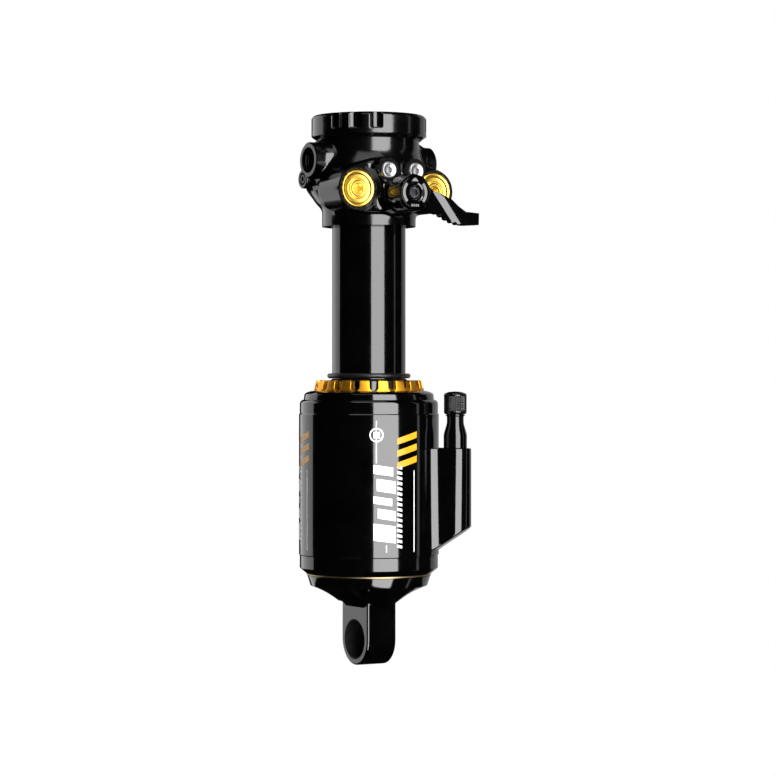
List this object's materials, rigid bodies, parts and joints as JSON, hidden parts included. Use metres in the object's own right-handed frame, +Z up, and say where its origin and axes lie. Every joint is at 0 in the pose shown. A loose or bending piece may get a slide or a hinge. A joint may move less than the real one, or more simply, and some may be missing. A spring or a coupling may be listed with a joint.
{
  "type": "rear shock",
  "caption": "Air-sprung bicycle rear shock with trunnion head, twin-tube damper, adjuster knobs, climb switch lever and lower eyelet.",
  "frame": {"origin": "centre of the lower eyelet bore", "axes": "+Z runs up the shock's axis from the lower eyelet to the reservoir cap; +X lies along the eyelet and trunnion axes; the adjusters and the climb switch face -Y"},
  "size_m": [0.0577, 0.0622, 0.213],
  "materials": {
    "black_anodised": "gloss black anodised, polished forging",
    "black_hard_anodised": "gloss black hard anodised",
    "orange_anodised": "satin orange-gold anodised",
    "gold_anodised": "bright gold anodised",
    "champagne_anodised": "satin champagne anodised",
    "plain_aluminium": "fine turned, clear anodised",
    "polished_steel": "ground and polished",
    "silver_screw_steel": "bright turned",
    "dark_screw_steel": "black oxide",
    "spring_steel": "drawn wire",
    "brass": "turned",
    "black_rubber": "smooth nitrile",
    "bumper_rubber": "moulded polyurethane",
    "bearing_liner": "low-friction composite",
    "blue_spacer_plastic": "moulded",
    "black_cap_plastic": "moulded, diamond knurl"
  },
  "bodies": {
    "air_can": {"lower_end_cap": "black_anodised", "eyelet_bushing": "bearing_liner", "end_cap_ring": "champagne_anodised", "end_cap_o_ring": "black_rubber", "air_can_sleeve": "black_anodised", "inner_air_sleeve": "plain_aluminium", "volume_spacer": "blue_spacer_plastic", "can_top_flange": "black_anodised", "castellated_collar": "orange_anodised", "tube_guide_bushing": "bearing_liner", "tube_quad_seal": "black_rubber", "dust_wiper": "black_rubber", "top_out_bumper": "bumper_rubber", "bottom_out_bumper": "bumper_rubber", "damper_shaft": "polished_steel", "damping_piston": "polished_steel", "piston_band": "bearing_liner", "piston_nut": "polished_steel", "shaft_top_out_ring": "bumper_rubber", "shaft_o_ring": "black_rubber", "valve_stem": "black_hard_anodised", "valve_core": "brass", "valve_core_spring": "spring_steel"},
    "piston_seals": {"air_piston_quad_ring": "black_rubber", "air_piston_guide_band": "bearing_liner"},
    "damper": {"air_piston": "plain_aluminium", "damper_tube": "black_hard_anodised", "inner_tube": "plain_aluminium", "seal_head": "plain_aluminium", "shaft_bushing": "bearing_liner", "shaft_seal": "black_rubber", "valve_body": "black_anodised", "reservoir_cap": "black_anodised", "reservoir_cap_o_ring": "black_rubber", "bladder": "black_rubber", "tube_o_ring": "black_rubber", "bleed_screw": "dark_screw_steel", "compression_high_spring": "spring_steel", "rebound_high_spring": "spring_steel", "detent_spring": "spring_steel"},
    "sag_indicator": {"sag_ring": "black_rubber"},
    "compression_low_knob": {"compression_low_knob": "gold_anodised"},
    "compression_low_needle": {"compression_low_needle": "polished_steel"},
    "rebound_low_knob": {"rebound_low_knob": "gold_anodised"},
    "rebound_low_needle": {"rebound_low_needle": "polished_steel"},
    "compression_high_screw": {"compression_high_screw": "silver_screw_steel"},
    "compression_high_seat": {"compression_high_seat": "brass"},
    "compression_high_poppet": {"compression_high_poppet": "polished_steel"},
    "rebound_high_screw": {"rebound_high_screw": "silver_screw_steel"},
    "rebound_high_seat": {"rebound_high_seat": "brass"},
    "rebound_high_poppet": {"rebound_high_poppet": "polished_steel"},
    "climb_switch": {"climb_switch_lever": "black_anodised", "climb_switch_dial": "black_anodised", "climb_switch_screw": "dark_screw_steel", "climb_switch_spindle": "polished_steel"},
    "detent_ball": {"detent_ball": "polished_steel"},
    "valve_pin": {"valve_core_pin": "brass"},
    "valve_cap_seal": {"valve_cap_seal": "black_rubber"},
    "valve_cap": {"valve_cap": "black_cap_plastic"}
  },
  "joints": [
    {"name": "stroke", "type": "slide", "parent": "air_can", "child": "piston_seals", "axis": [0, 0, -1], "range_m": [0, 0.055], "stiffness_N_per_m": 20000, "springref_m": -0.003},
    {"name": "head_swivel", "type": "hinge", "parent": "piston_seals", "child": "damper", "pos_m": [0, 0, 0], "axis": [0, 0, 1], "continuous": true},
    {"name": "sag_ring_slide", "type": "slide", "parent": "damper", "child": "sag_indicator", "axis": [0, 0, 1], "range_m": [0, 0.055]},
    {"name": "compression_low_turn", "type": "hinge", "parent": "damper", "child": "compression_low_knob", "pos_m": [-0.0169, -0.0215, 0.1732], "axis": [0, -1, 0], "range_deg": [-286, 286]},
    {"name": "compression_low_needle_lift", "type": "slide", "parent": "damper", "child": "compression_low_needle", "axis": [0, -1, 0], "range_m": [-0.0006, 0.0006]},
    {"name": "compression_high_turn", "type": "hinge", "parent": "damper", "child": "compression_high_screw", "pos_m": [-0.006, -0.0265, 0.1803], "axis": [0, -1, 0], "range_deg": [-745, 745]},
    {"name": "compression_high_preload", "type": "slide", "parent": "damper", "child": "compression_high_seat", "axis": [0, -1, 0], "range_m": [-0.001, 0.001]},
    {"name": "compression_high_poppet_lift", "type": "slide", "parent": "damper", "child": "compression_high_poppet", "axis": [0, -1, 0], "range_m": [0, 0.001], "stiffness_N_per_m": 200, "springref_m": -0.001, "deforming": ["compression_high_spring"]},
    {"name": "rebound_low_turn", "type": "hinge", "parent": "damper", "child": "rebound_low_knob", "pos_m": [0.0169, -0.0215, 0.1732], "axis": [0, -1, 0], "range_deg": [-286, 286]},
    {"name": "rebound_low_needle_lift", "type": "slide", "parent": "damper", "child": "rebound_low_needle", "axis": [0, -1, 0], "range_m": [-0.0006, 0.0006]},
    {"name": "rebound_high_turn", "type": "hinge", "parent": "damper", "child": "rebound_high_screw", "pos_m": [0.006, -0.0265, 0.1803], "axis": [0, -1, 0], "range_deg": [-745, 745]},
    {"name": "rebound_high_preload", "type": "slide", "parent": "damper", "child": "rebound_high_seat", "axis": [0, -1, 0], "range_m": [-0.001, 0.001]},
    {"name": "rebound_high_poppet_lift", "type": "slide", "parent": "damper", "child": "rebound_high_poppet", "axis": [0, -1, 0], "range_m": [0, 0.001], "stiffness_N_per_m": 200, "springref_m": -0.001, "deforming": ["rebound_high_spring"]},
    {"name": "climb_switch_turn", "type": "hinge", "parent": "damper", "child": "climb_switch", "pos_m": [0, -0.03, 0.1714], "axis": [0, -1, 0], "range_deg": [0, 90]},
    {"name": "detent_ball_slide", "type": "slide", "parent": "damper", "child": "detent_ball", "axis": [0, 1, 0], "range_m": [0, 0.0004], "stiffness_N_per_m": 100, "springref_m": -0.001, "deforming": ["detent_spring"]},
    {"name": "valve_pin_press", "type": "slide", "parent": "air_can", "child": "valve_pin", "axis": [0, 0, -1], "range_m": [0, 0.001], "stiffness_N_per_m": 150, "springref_m": -0.001, "deforming": ["valve_core_spring"]},
    {"name": "valve_cap_lift", "type": "slide", "parent": "air_can", "child": "valve_cap_seal", "axis": [0, 0, 1], "range_m": [0, 0.0048]},
    {"name": "valve_cap_turn", "type": "hinge", "parent": "valve_cap_seal", "child": "valve_cap", "pos_m": [0.0244, -0.0244, 0.0917], "axis": [0, 0, 1], "range_deg": [0, 2160]}
  ],
  "couplings": [
    {"joint": "sag_ring_slide", "follows": "stroke", "ratio": 1},
    {"joint": "compression_low_turn", "follows": "compression_low_needle_lift", "rad_per_m": 7854},
    {"joint": "compression_high_turn", "follows": "compression_high_preload", "rad_per_m": 12566},
    {"joint": "rebound_low_turn", "follows": "rebound_low_needle_lift", "rad_per_m": 7854},
    {"joint": "rebound_high_turn", "follows": "rebound_high_preload", "rad_per_m": 12566},
    {"joint": "valve_cap_lift", "follows": "valve_cap_turn", "m_per_rad": 0.00012637}
  ]
}
